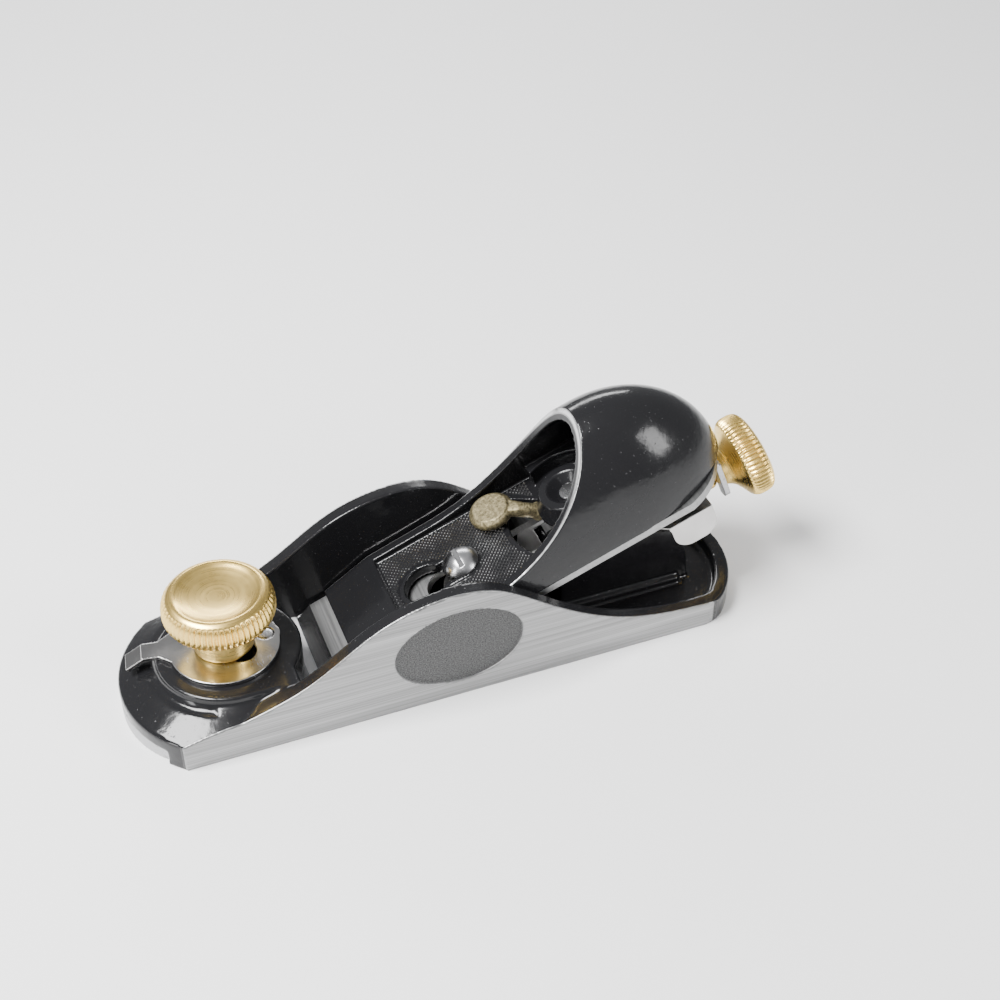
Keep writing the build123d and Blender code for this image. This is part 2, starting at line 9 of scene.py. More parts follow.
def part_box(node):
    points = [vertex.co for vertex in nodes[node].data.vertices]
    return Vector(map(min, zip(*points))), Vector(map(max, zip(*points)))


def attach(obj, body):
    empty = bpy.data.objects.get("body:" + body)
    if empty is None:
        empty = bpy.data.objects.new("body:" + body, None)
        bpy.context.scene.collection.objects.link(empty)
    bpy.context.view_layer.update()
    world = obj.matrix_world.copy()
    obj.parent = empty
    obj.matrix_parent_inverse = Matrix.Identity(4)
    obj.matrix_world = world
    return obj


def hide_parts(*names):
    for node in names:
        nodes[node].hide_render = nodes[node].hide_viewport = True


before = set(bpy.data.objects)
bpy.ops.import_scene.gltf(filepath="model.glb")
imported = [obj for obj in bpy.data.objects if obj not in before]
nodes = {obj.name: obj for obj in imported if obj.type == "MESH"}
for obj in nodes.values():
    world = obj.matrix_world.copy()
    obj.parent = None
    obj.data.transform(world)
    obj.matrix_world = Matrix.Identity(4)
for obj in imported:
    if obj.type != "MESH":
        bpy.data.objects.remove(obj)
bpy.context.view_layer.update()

MM = 0.001
BED_ANGLE = math.radians(21.0)
BED_FOOT_X = 32.0
BED_FOOT = Vector((BED_FOOT_X, 0, 0)) * MM
UP_BED = Vector((-math.cos(BED_ANGLE), 0, math.sin(BED_ANGLE)))
BED_NORMAL = Vector((math.sin(BED_ANGLE), 0, math.cos(BED_ANGLE)))
BED_LEVEL = float(BED_FOOT.dot(BED_NORMAL))
BED_START = float(BED_FOOT.dot(UP_BED))
ALONG_BED = Matrix((BED_NORMAL, Vector((0, 1, 0)), UP_BED)).transposed()
UPRIGHT = Matrix.Identity(3)
SIDE_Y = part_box("body_casting")[1].y

# millimetres: s runs up the bed from its foot, n stands off it, and p runs up the cap from its front
CAP_S = 10.0
CAP_N = 2.25
CAP_PANEL = 3.38
KEYHOLE_P, KEYHOLE_RADIUS = 24.0, 5.6
KEYHOLE_END_P, KEYHOLE_END_RADIUS = 34.0, 3.5
CAM_P = 66.0
ROD_N = -10.4
STUD_X = 53.3
PIVOT_X = 43.3


def on_bed(s, t, n):
    """A point given in millimetres up the bed, across it and off it."""
    return BED_FOOT + (UP_BED * s + Vector((0, -1, 0)) * t + BED_NORMAL * n) * MM


# ---------------------------------------------------------------- shader helpers


class Shader:
    """A material with a Principled shader and short ways to add nodes to it."""

    def __init__(self, name, colour, roughness, metallic=0.0, **sockets):
        self.material = bpy.data.materials.new(name)
        self.material.use_nodes = True
        self.tree = self.material.node_tree
        self.main = self.tree.nodes["Principled BSDF"]
        self.set(self.main, {"Base Color": (*colour, 1), "Roughness": roughness})
        self.set(self.main, {"Metallic": metallic, **sockets})
        self.place = self.node("ShaderNodeTexCoord").outputs["Object"]

    def set(self, node, values):
        for key, value in values.items():
            if isinstance(value, bpy.types.NodeSocket):
                self.tree.links.new(value, node.inputs[key])
            else:
                node.inputs[key].default_value = value

    def node(self, kind, values=None, **settings):
        made = self.tree.nodes.new(kind)
        for key, value in settings.items():
            setattr(made, key, value)
        self.set(made, values or {})
        return made

    def math(self, operation, first, *others):
        """A chain of one operation over all the values."""
        if not others:
            return self.node("ShaderNodeMath", {0: first}, operation=operation).outputs[0]
        for other in others:
            first = self.node("ShaderNodeMath", {0: first, 1: other}, operation=operation).outputs[0]
        return first

    def times(self, *values):
        return self.math("MULTIPLY", *values)

    def plus(self, *values):
        return self.math("ADD", *values)

    def minus(self, a, b):
        return self.math("SUBTRACT", a, b)

    def most(self, *values):
        return self.math("MAXIMUM", *values)

    def weighed(self, a, share_a, b, share_b):
        return self.plus(self.times(a, share_a), self.times(b, share_b))

    def noise(self, scale, detail=3.0, roughness=0.55, stretch=None, vector=None):
        source = vector or self.place
        if stretch:
            source = self.node("ShaderNodeMapping", {"Vector": source, "Scale": stretch}).outputs[0]
        values = {"Vector": source, "Scale": scale, "Detail": detail, "Roughness": roughness}
        return self.node("ShaderNodeTexNoise", values).outputs["Fac"]

    def ramp(self, value, low, high, to_low=0.0, to_high=1.0):
        values = {0: value, 1: low, 2: high, 3: to_low, 4: to_high}
        return self.node("ShaderNodeMapRange", values).outputs[0]

    def mix(self, factor, a, b):
        """A colour between a and b."""
        made = self.node("ShaderNodeMix", data_type="RGBA")
        self.set(made, {0: factor, 6: a, 7: b})
        return made.outputs[2]

    def blend(self, factor, a, b):
        """A number between a and b."""
        made = self.node("ShaderNodeMix", data_type="FLOAT")
        self.set(made, {0: factor, 2: a, 3: b})
        return made.outputs[0]

    def bump(self, height, strength, distance):
        values = {"Height": height, "Strength": strength, "Distance": distance}
        return self.node("ShaderNodeBump", values).outputs[0]

    def axis(self, name):
        return self.node("ShaderNodeSeparateXYZ", {0: self.place}).outputs[name]

    def along(self, direction, vector=None):
        values = {0: vector or self.place, 1: tuple(direction)}
        return self.node("ShaderNodeVectorMath", values, operation="DOT_PRODUCT").outputs["Value"]

    def facing(self, direction):
        """How much the surface at rest faces a direction, from -1 to 1."""
        return self.along(direction, self.node("ShaderNodeTexCoord").outputs["Normal"])

    def off_bed(self):
        """The height over the bed's plane."""
        return self.minus(self.along(BED_NORMAL), BED_LEVEL)

    def up_bed(self, start=0.0):
        """The way up the bed from a start on it."""
        return self.minus(self.along(UP_BED), BED_START + start)


def grey(value):
    return (value, value, value, 1)


# ---------------------------------------------------------------- mesh helpers


def mesh_object(name, points, faces, smooth=True):
    mesh = bpy.data.meshes.new(name)
    mesh.from_pydata([tuple(point) for point in points], [], faces)
    mesh.update()
    made = bpy.data.objects.new(name, mesh)
    bpy.context.scene.collection.objects.link(made)
    if smooth:
        mesh.shade_smooth()
    return made


def coordinates(mesh):
    values = np.empty(len(mesh.vertices) * 3, dtype=np.float32)
    mesh.vertices.foreach_get("co", values)
    return values.reshape(-1, 3)


def modified(made):
    """Applies the object's modifiers."""
    depsgraph = bpy.context.evaluated_depsgraph_get()
    mesh = bpy.data.meshes.new_from_object(made.evaluated_get(depsgraph))
    made.modifiers.clear()
    made.data = mesh


def softened(made, voxel, passes, faces, soft=None, passes_soft=0, snap=None):
    """Remeshes a shape finely, rounds its edges and thins its mesh.

    soft gives each point's share of the extra rounding, and snap puts machined faces back flat.
    """
    remesh = made.modifiers.new("remesh", "REMESH")
    remesh.mode = "VOXEL"
    remesh.voxel_size = voxel
    modified(made)
    even = made.modifiers.new("even", "SMOOTH")
    even.factor, even.iterations = 0.5, passes
    if soft:
        group = made.vertex_groups.new(name="soft")
        share = soft(coordinates(made.data) / MM)
        for step in range(1, 5):
            chosen = np.nonzero(np.round(share * 4) == step)[0]
            group.add([int(index) for index in chosen], step / 4, "REPLACE")
        extra = made.modifiers.new("extra", "SMOOTH")
        extra.factor, extra.iterations, extra.vertex_group = 0.5, passes_soft, "soft"
    modified(made)
    if snap:
        place = snap(coordinates(made.data) / MM) * MM
        made.data.vertices.foreach_set("co", place.astype(np.float32).ravel())
        made.data.update()
    count = sum(len(face.vertices) - 2 for face in made.data.polygons)
    if count > faces:
        thin = made.modifiers.new("thin", "DECIMATE")
        thin.ratio = faces / count
        modified(made)
    made.data.shade_smooth()
    weighted = made.modifiers.new("weighted", "WEIGHTED_NORMAL")
    weighted.weight, weighted.keep_sharp = 80, False
    return made


def stands_for(made, material, body, slot_name, *names):
    """Puts a piece on its body, in place of the CAD nodes that it replaces."""
    made.data.materials.clear()
    made.data.materials.append(material)
    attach(made, body)
    if names:
        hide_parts(*names)
    return made


def from_cad(name, voxel, passes, faces, **more):
    """A softened copy of a CAD node."""
    source = nodes[name]
    points = [source.matrix_world @ vertex.co for vertex in source.data.vertices]
    polygons = [list(face.vertices) for face in source.data.polygons]
    return softened(mesh_object(name + "_surface", points, polygons), voxel, passes, faces, **more)


def joined(name, parts):
    """Several meshes as one."""
    points, faces = [], []
    for part in parts:
        start = len(points)
        points += [vertex.co.copy() for vertex in part.data.vertices]
        faces += [[start + index for index in face.vertices] for face in part.data.polygons]
        bpy.data.objects.remove(part)
    return mesh_object(name, points, faces)


def lathe(name, profile, place, turn, flute_count=0, flute_depth=0.0, flute_range=(0, 0), sides=96):
    """A turned solid from (radius, height) points in mm, its widest part cut by straight flutes."""
    spacing, flute_end, rim_share, rim_fade, sides_per_flute = 0.35, 0.5, 0.86, 0.06, 8
    dense = []
    for (r0, z0), (r1, z1) in zip(profile, profile[1:]):
        steps = max(1, int(math.hypot(r1 - r0, z1 - z0) / spacing))
        dense += [(r0 + (r1 - r0) * k / steps, z0 + (z1 - z0) * k / steps) for k in range(steps)]
    dense.append(profile[-1])
    for _ in range(3):
        inner = zip(dense, dense[1:], dense[2:])
        middle = [((a[0] + 2 * b[0] + c[0]) / 4, (a[1] + 2 * b[1] + c[1]) / 4) for a, b, c in inner]
        dense = [dense[0]] + middle + [dense[-1]]
    sides = flute_count * sides_per_flute if flute_count else sides
    low, high = flute_range
    widest = max(r for r, z in dense)
    points, faces = [], []
    for r, z in dense:
        inside = min(1.0, max(0.0, (z - low) / flute_end)) * min(1.0, max(0.0, (high - z) / flute_end))
        inside *= min(1.0, max(0.0, r / widest - rim_share) / rim_fade)
        for k in range(sides):
            angle = 2 * math.pi * k / sides
            groove = (0.5 - 0.5 * math.cos(angle * flute_count)) ** 0.7 if flute_count else 0
            radius = r - flute_depth * inside * groove
            points.append((radius * math.cos(angle) * MM, radius * math.sin(angle) * MM, z * MM))
    for ring in range(len(dense) - 1):
        for k in range(sides):
            a, b = ring * sides + k, ring * sides + (k + 1) % sides
            faces.append((a, b, b + sides, a + sides))
    for ring, order in ((0, -1), (len(dense) - 1, 1)):
        faces.append([ring * sides + k for k in range(sides)][::order])
    matrix = Matrix.Translation(place) @ turn.to_4x4()
    return mesh_object(name, [matrix @ Vector(point) for point in points], faces)


def threaded(name, radius, depth, pitch, start, end, place, turn):
    """A screw thread with closed ends along local Z, in mm."""
    per_turn = 36
    rows = 8
    count = int((end - start) / pitch * per_turn)
    points, faces = [], []
    for step in range(count + 1):
        angle = 2 * math.pi * step / per_turn
        for row in range(rows + 1):
            z = start + pitch * (step / per_turn - 1 + row / rows)
            z = min(max(z, start), end)
            crest = abs(2 * ((row / rows) % 1.0) - 1)
            fade = min(1.0, max(0.0, min(z - start, end - z) / pitch + 0.15))
            r = radius - depth * (1 - min(1.0, crest * 1.25) * fade)
            points.append((r * math.cos(angle) * MM, r * math.sin(angle) * MM, z * MM))
    for step in range(count):
        for row in range(rows):
            a = step * (rows + 1) + row
            faces.append((a, a + rows + 1, a + rows + 2, a + 1))
    matrix = Matrix.Translation(place) @ turn.to_4x4()
    return mesh_object(name, [matrix @ Vector(point) for point in points], faces)


def bed_numbers(place):
    """(s, t, n) of points in mm."""
    shifted = place - np.array([BED_FOOT_X, 0, 0])
    return shifted @ np.array(UP_BED), -place[:, 1], shifted @ np.array(BED_NORMAL)


# ---------------------------------------------------------------- materials


BLACK, SPECK = (0.010, 0.010, 0.011, 1), (0.03, 0.03, 0.032, 1)


def ground(shader, along_scale, across_scale, vector=None):
    """Fine and broad grinding lines that run along the x of the vector."""
    fine = (along_scale, across_scale, across_scale)
    broad = (along_scale * 0.5, across_scale * 0.12, across_scale * 0.12)
    return shader.noise(1.0, 4.0, 0.6, fine, vector), shader.noise(1.0, 2.0, 0.5, broad, vector)


def japan_paint(shader, rough_low=0.10, rough_high=0.24):
    """Orange peel, dust specks and a cloudy gloss for thick black enamel over a rough casting."""
    peel = shader.noise(520.0, 2.0, 0.5)
    swell = shader.noise(150.0, 2.0, 0.5)
    speck = shader.ramp(shader.noise(1700.0, 1.0, 0.4), 0.72, 0.80)
    height = shader.plus(shader.weighed(swell, 1.3, peel, 0.45), shader.times(speck, 0.30))
    gloss = shader.ramp(shader.noise(60.0, 4.0, 0.6), 0.35, 0.7, rough_low, rough_high)
    return height, gloss, speck


def milled_faces(shader, y):
    """Masks the bare rail, foot and boss that the blade and the screw rest on."""
    n, s = shader.off_bed(), shader.up_bed()
    level = shader.facing(BED_NORMAL)
    flat = shader.ramp(level, 0.95, 0.985)
    rail = shader.times(shader.ramp(level, 0.93, 0.975), shader.ramp(s, 0.0585, 0.0590),
                        shader.ramp(n, -0.0036, -0.0034))
    foot = shader.times(flat, shader.ramp(s, 0.0225, 0.0215), shader.ramp(n, -0.00030, -0.00015),
                        shader.ramp(n, 0.00030, 0.00015), shader.ramp(s, -0.001, 0.0))
    boss = shader.times(flat, shader.ramp(s, 0.0370, 0.0374), shader.ramp(s, 0.0516, 0.0512),
                        shader.ramp(n, -0.0022, -0.0020), shader.ramp(y, 0.0080, 0.0078))
    return shader.most(rail, foot, boss)


def body_material():
    """Black japan inside, ground sides and sole, a stippled oval in each side and milled seats."""
    shader = Shader("japan", (0.011, 0.011, 0.012), 0.15, **{"Specular IOR Level": 0.34})
    y = shader.math("ABSOLUTE", shader.axis("Y"))
    sideways = shader.math("ABSOLUTE", shader.facing((0, 1, 0)))
    side = shader.ramp(y, SIDE_Y - 0.00040, SIDE_Y - 0.00032)
    sole = shader.ramp(shader.axis("Z"), 0.00022, 0.00014)
    milled = milled_faces(shader, y)
    bare = shader.most(side, sole, milled)
    oval = shader.times(shader.ramp(y, SIDE_Y - 0.00085, SIDE_Y - 0.00070),
                        shader.ramp(sideways, 0.70, 0.9), shader.minus(1.0, side))
    metal = shader.most(bare, oval)

    fine, broad = ground(shader, 14.0, 2600.0)
    tone = shader.weighed(fine, 0.6, broad, 0.4)
    steel = shader.mix(shader.ramp(tone, 0.34, 0.66), grey(0.17), grey(0.37))
    milled_tone = shader.noise(900.0, 3.0, 0.6, (1.0, 0.08, 1.0))
    milled_steel = shader.mix(shader.ramp(milled_tone, 0.3, 0.7), grey(0.30), grey(0.50))
    stipple = shader.noise(3000.0, 3.0, 0.65)
    stippled = shader.mix(shader.ramp(stipple, 0.35, 0.65), grey(0.050), grey(0.155))
    steel = shader.mix(oval, shader.mix(milled, steel, milled_steel), stippled)

    height, gloss, speck = japan_paint(shader)
    lines = shader.ramp(tone, 0.3, 0.7, 0.30, 0.44)
    relief = shader.plus(shader.times(height, shader.minus(1.0, metal)),
                         shader.times(fine, 0.10, bare), shader.times(stipple, 0.8, oval))
    shader.set(shader.main, {
        "Base Color": shader.mix(metal, shader.mix(speck, BLACK, SPECK), steel),
        "Metallic": metal,
        "Roughness": shader.blend(oval, shader.blend(bare, gloss, lines), 0.62),
        "Normal": shader.bump(relief, 0.55, 0.00012),
    })
    return shader.material


def cap_material():
    """Black enamel, worn bright where the arched skin turns over into the cut rim of the hood."""
    shader = Shader("cap_enamel", (0.011, 0.011, 0.012), 0.16, **{"Specular IOR Level": 0.34})
    height, gloss, speck = japan_paint(shader)
    half_width, top = 18.0, 29.0
    t = shader.times(shader.axis("Y"), -1 / MM)
    h = shader.times(shader.minus(shader.off_bed(), CAP_N * MM), 1 / MM)
    p = shader.up_bed(CAP_S * MM)
    # the skin is half an ellipse across the cap, and it faces along the ellipse's gradient
    across, lift = shader.math("DIVIDE", t, half_width), shader.math("DIVIDE", h, top)
    skin = shader.plus(shader.times(across, across), shader.times(lift, lift))
    slope_t, slope_h = shader.math("DIVIDE", across, half_width), shader.math("DIVIDE", lift, top)
    steepness = shader.plus(shader.times(slope_t, slope_t), shader.times(slope_h, slope_h))
    outward = shader.plus(shader.times(slope_t, shader.facing((0, -1, 0))),
                          shader.times(slope_h, shader.facing(BED_NORMAL)))
    outward = shader.math("DIVIDE", outward, shader.math("SQRT", steepness))
    edge = shader.times(shader.ramp(outward, 0.30, 0.42), shader.ramp(outward, 0.95, 0.88),
                        shader.ramp(skin, 0.90, 0.94), shader.ramp(h, 1.0, 1.2),
                        shader.ramp(p, 0.0770, 0.0755))
    worn = shader.times(edge, shader.ramp(shader.noise(90.0, 3.0, 0.6), 0.25, 0.42))
    shader.set(shader.main, {
        "Base Color": shader.mix(worn, shader.mix(speck, BLACK, SPECK), grey(0.62)),
        "Metallic": worn,
        "Roughness": shader.blend(worn, gloss, 0.3),
        "Normal": shader.bump(height, 0.55, 0.00017),
    })
    return shader.material


def knurl_material():
    """The cap's enamel, with a painted highlight: the tops of some of the points are painted lighter grey."""
    shader = Shader("cap_knurl_paint", (0.02, 0.02, 0.022), 0.25)
    height, gloss, _ = japan_paint(shader, 0.16, 0.32)
    # painted highlight: the flat tops of the knurl points, patchy with noise, are painted a lighter grey
    painted_highlight_tops = shader.times(shader.ramp(shader.off_bed(), 0.00590, 0.00598),
                          shader.ramp(shader.noise(200.0, 3.0, 0.6), 0.42, 0.60))
    shader.set(shader.main, {
        "Base Color": shader.mix(painted_highlight_tops, (0.02, 0.02, 0.021, 1), grey(0.22)),
        "Roughness": gloss,
        "Normal": shader.bump(height, 0.4, 0.00008),
    })
    return shader.material


def plated(name, colour, low, high, wave=0.25, depth=0.00004):
    """Bright plating over pressed sheet: a soft ripple, faint scuffs and a fine haze."""
    shader = Shader(name, colour, low, 1.0)
    ripple = shader.noise(260.0, 3.0, 0.55)
    scuff = shader.ramp(shader.noise(900.0, 4.0, 0.7, (1.0, 0.25, 1.0)), 0.55, 0.75)
    haze = shader.noise(70.0, 4.0, 0.6)
    dark = tuple(value * 0.72 for value in colour)
    shader.set(shader.main, {
        "Base Color": shader.mix(shader.ramp(haze, 0.35, 0.7), (*dark, 1), (*colour, 1)),
        "Roughness": shader.plus(shader.ramp(haze, 0.35, 0.7, low, high), shader.times(scuff, 0.10)),
        "Normal": shader.bump(shader.plus(ripple, shader.times(scuff, 0.2)), wave, depth),
    })
    return shader.material


def zinc(name, colour, low, high):
    """Dull zinc over rolled plate: fine grain, pinholes and faint rolling lines."""
    shader = Shader(name, colour, low, 1.0)
    grain = shader.noise(2400.0, 2.0, 0.6)
    rolled = shader.noise(1.0, 3.0, 0.6, (40.0, 1500.0, 1500.0))
    pits = shader.ramp(shader.noise(700.0, 1.0, 0.4), 0.30, 0.24)
    tone = shader.weighed(grain, 0.5, rolled, 0.5)
    dark = tuple(value * 0.74 for value in colour)
    sheet = shader.mix(shader.ramp(tone, 0.35, 0.65), (*dark, 1), (*colour, 1))
    shader.set(shader.main, {
        "Base Color": shader.mix(shader.times(pits, 0.6), sheet, grey(0.2)),
        "Roughness": shader.ramp(tone, 0.3, 0.7, low, high),
        "Normal": shader.bump(shader.minus(shader.times(tone, 0.4), shader.times(pits, 0.8)), 0.35, 0.00004),
    })
    return shader.material


def blade_material():
    """Satin iron with grinding lines across the blade, its bevel lighter."""
    shader = Shader("blade_steel", (0.4, 0.4, 0.41), 0.33, 1.0)
    across = {"X": shader.along((0, 1, 0)), "Y": shader.along(UP_BED), "Z": shader.along(BED_NORMAL)}
    fine, broad = ground(shader, 22.0, 2300.0, shader.node("ShaderNodeCombineXYZ", across).outputs[0])
    level = shader.facing(BED_NORMAL)
    bevel = shader.times(shader.ramp(level, 0.97, 0.94), shader.ramp(level, 0.80, 0.86))
    tone = shader.weighed(fine, 0.65, broad, 0.35)
    flat = shader.mix(shader.ramp(tone, 0.33, 0.67), grey(0.22), grey(0.38))
    bright = shader.mix(shader.ramp(tone, 0.33, 0.67), grey(0.48), grey(0.66))
    shader.set(shader.main, {
        "Base Color": shader.mix(bevel, flat, bright),
        "Roughness": shader.blend(bevel, shader.ramp(tone, 0.3, 0.7, 0.34, 0.46), 0.27),
        "Normal": shader.bump(fine, 0.12, 0.00003),
    })
    return shader.material


def brass(name, colour, place, turn):
    """Turned brass: rings round the axis, a little tarnish, and painted shade in the hollows."""
    low, high = 0.22, 0.36
    shader = Shader(name, colour, low, 1.0)
    values = {"Vector": shader.place, "Location": tuple(-place)}
    local = shader.node("ShaderNodeMapping", values).outputs[0]
    a, b, c = [shader.along(row, local) for row in turn.transposed()]
    ring = shader.math("SQRT", shader.plus(shader.times(a, a), shader.times(b, b)))
    rings = shader.node("ShaderNodeCombineXYZ", {"X": ring, "Y": c}).outputs[0]
    turned_lines = shader.noise(3200.0, 2.0, 0.6, None, rings)
    tarnish = shader.noise(120.0, 4.0, 0.6)
    # painted shade: the concave hollows, such as the flutes, are painted a darker brass
    painted_shade_hollows = shader.ramp(shader.node("ShaderNodeNewGeometry").outputs["Pointiness"], 0.50, 0.44)
    dark = (colour[0] * 0.62, colour[1] * 0.55, colour[2] * 0.42, 1)
    mild = (colour[0] * 0.93, colour[1] * 0.90, colour[2] * 0.82, 1)
    tint = shader.mix(shader.ramp(tarnish, 0.35, 0.7), mild, (*colour, 1))
    shader.set(shader.main, {
        "Base Color": shader.mix(shader.times(painted_shade_hollows, 0.7), tint, dark),
        "Roughness": shader.ramp(shader.weighed(turned_lines, 0.5, tarnish, 0.5), 0.35, 0.65, low, high),
        "Normal": shader.bump(turned_lines, 0.10, 0.00003),
    })
    return shader.material


def cast_bronze():
    """Rough cast bronze with a mottled olive patina."""
    shader = Shader("cam_bronze", (0.4, 0.37, 0.27), 0.5, 1.0)
    lump = shader.noise(900.0, 4.0, 0.65)
    grit = shader.noise(3000.0, 3.0, 0.7)
    patina = shader.noise(1300.0, 5.0, 0.75)
    dark, pale = (0.085, 0.070, 0.036, 1), (0.37, 0.315, 0.18, 1)
    shader.set(shader.main, {
        "Base Color": shader.mix(shader.ramp(patina, 0.35, 0.65), dark, pale),
        "Metallic": 0.85,
        "Roughness": shader.ramp(lump, 0.3, 0.7, 0.38, 0.62),
        "Normal": shader.bump(shader.plus(lump, shader.times(grit, 0.5)), 0.8, 0.00022),
    })
    return shader.material


# ---------------------------------------------------------------- the casting and the cap


def casting_softness(place):
    """More rounding for the japanned inside than for the ground faces."""
    y, z = place[:, 1], place[:, 2]
    s, t, n = bed_numbers(place)
    ground_side, near_sole = np.abs(y) > 21.3, z < 1.2
    foot = (np.abs(n) < 0.9) & (s < 24)
    tower_rails = (n > -4.6) & (s > 56) & (np.abs(t) < 8.5)
    boss = (n > -3.0) & (np.abs(s - 44) < 7.5)
    wall = (np.abs(y) > 18.0) & (z > 5)
    share = np.ones(len(place))
    for part, softness in ((ground_side, 0), (near_sole, 0), (foot, 0.25), (tower_rails, 0), (boss, 0.25)):
        share[part] = softness
    share[wall] *= 0.5
    return share


def casting_flats(place):
    """The ground sides and the sole put back on their planes."""
    out = place.copy()
    side = SIDE_Y / MM
    reach = 0.12
    for sign in (-1, 1):
        near = sign * out[:, 1] > side - reach
        out[near, 1] = sign * side
    out[out[:, 2] < reach, 2] = 0.0
    return out


def casting():
    made = from_cad("body_casting", 0.30 * MM, 2, 190000,
                    soft=casting_softness, passes_soft=28, snap=casting_flats)
    return stands_for(made, body_material(), "base", "japan", "body_casting")


def cap_softness(place):
    """Crisp edges on the cap's underside and round its panel, softer ones on the hood."""
    s, _, n = bed_numbers(place)
    p, h = s - CAP_S, n - CAP_N
    underside = h < 0.9
    panel = (h > 2.9) & (h < 4.3) & (p < 63)
    share = np.full(len(place), 0.75)
    share[underside] = 0
    share[panel] = 0.25
    return share


def cap():
    made = from_cad("lever_cap", 0.28 * MM, 2, 170000, soft=cap_softness, passes_soft=8)
    return stands_for(made, cap_material(), "cap", "cap_enamel", "lever_cap")


def on_panel(p, t, half):
    """Whether a knurled point stands clear of the panel's edges, the keyhole, the cam's slot and its boss."""
    keyhole, keyhole_end = KEYHOLE_RADIUS + 1.9, KEYHOLE_END_RADIUS + 1.9
    slot, slot_half_angle, boss = 17.5 + 1.1, math.radians(45), 11.0
    panel_end, panel_half = 58.5, 15.15 - max(0.0, (p - 40.0) * 0.015)
    from_cam, bearing = math.hypot(p - CAM_P, t), abs(math.atan2(t, CAM_P - p))
    off_edge = p > panel_end or abs(t) > panel_half - half
    in_keyhole = (
        math.hypot(p - KEYHOLE_P, t) < keyhole or math.hypot(p - KEYHOLE_END_P, t) < keyhole_end
        or (KEYHOLE_P < p < KEYHOLE_END_P and abs(t) < keyhole_end))
    in_slot = from_cam < slot and bearing < slot_half_angle
    return not (off_edge or in_keyhole or in_slot or from_cam < boss)


def diamond(p, t, h, size):
    """The four corners of a diamond on the cap."""
    corners = ((size, 0), (0, size), (-size, 0), (0, -size))
    return [on_bed(CAP_S + p + a, t + b, CAP_N + h) for a, b in corners]


def knurl():
    """The diamond points cut over the cap's panel."""
    step = 1.22
    half = step / 2
    size, height = half * 0.94, 0.36
    first, length, columns = 15.9, 46, 12
    points, faces = [], []
    for row in range(int(length / half)):
        p = first + row * half
        for column in range(-columns, columns + 1):
            t = column * step + (half if row % 2 else 0)
            if not on_panel(p, t, half):
                continue
            start = len(points)
            points += diamond(p, t, CAP_PANEL, size) + diamond(p, t, CAP_PANEL + height, size * 0.24)
            for k in range(4):
                after = (k + 1) % 4
                faces.append((start + after, start + k, start + 4 + k, start + 4 + after))
            faces.append([start + 7, start + 6, start + 5, start + 4])
    made = mesh_object("cap_knurl", points, faces, smooth=False)
    return stands_for(made, knurl_material(), "cap", "cap_enamel")


# ---------------------------------------------------------------- sheet parts, blade and screws


def sheets():
    nickel = plated("nickel_plate", (0.60, 0.59, 0.58), 0.13, 0.26)
    dull = zinc("zinc_plate", (0.50, 0.50, 0.51), 0.34, 0.48)
    for name, voxel, faces, material, slot_name, body in (
            ("lateral_yoke", 0.16, 150000, nickel, "nickel_plate", "yoke"),
            ("eccentric_lever", 0.13, 110000, nickel, "nickel_plate", "eccentric"),
            ("adjuster_slide", 0.15, 110000, dull, "zinc_plate", "slide"),
            ("toe_plate", 0.20, 90000, dull, "zinc_plate", "mouth")):
        stands_for(from_cad(name, voxel * MM, 3, faces), material, body, slot_name, name)


def iron():
    """The blade keeps its CAD mesh, with its edges broken."""
    node = nodes["blade"]
    node.data.materials.clear()
    node.data.materials.append(blade_material())
    edge = node.modifiers.new("edge", "BEVEL")
    edge.width, edge.segments = 0.12 * MM, 2
    edge.limit_method, edge.angle_limit = "ANGLE", math.radians(40)
    edge.harden_normals = True


def knobs():
    gold = (0.93, 0.675, 0.225)
    place = Vector((STUD_X, 0, 0)) * MM
    base = 15.35
    top = base + 17.0
    profile = [
        (3.06, base + 0.02), (6.9, base), (7.3, base + 0.5), (7.25, base + 5.4), (7.9, base + 7.2),
        (9.8, base + 8.6), (12.2, top - 7.6), (13.1, top - 6.6), (13.45, top - 5.2), (13.45, top - 3.4),
        (13.1, top - 2.0), (12.2, top - 0.8), (10.9, top - 0.05), (10.2, top - 0.1), (9.4, top - 0.55),
        (7.0, top - 1.15), (4.2, top - 1.55), (2.0, top - 1.66), (0.05, top - 1.67)]
    made = lathe("finger_knob_turned", profile, place, UPRIGHT, 60, 0.62, (top - 7.8, top - 0.9))
    stands_for(made, brass("brass", gold, place, UPRIGHT), "finger_grip", "brass", "finger_knob")
    centre = on_bed(0, 0, ROD_N)
    start = 112.6
    end = 124.5
    profile = [
        (2.35, start), (4.3, start), (4.7, start + 1.3), (5.6, start + 2.6), (7.6, start + 3.9),
        (9.8, start + 5.0), (10.7, start + 6.0), (10.96, start + 7.2), (10.96, end - 2.6), (10.6, end - 1.3),
        (9.4, end - 0.4), (8.0, end - 0.02), (7.2, end - 0.1), (4.5, end - 0.5), (0.05, end - 0.75)]
    made = lathe("depth_knob_turned", profile, centre, ALONG_BED, 54, 0.55, (start + 5.2, end - 0.9))
    wheel = brass("wheel_brass", gold, centre, ALONG_BED)
    stands_for(made, wheel, "depth_wheel", "brass", "depth_knob")


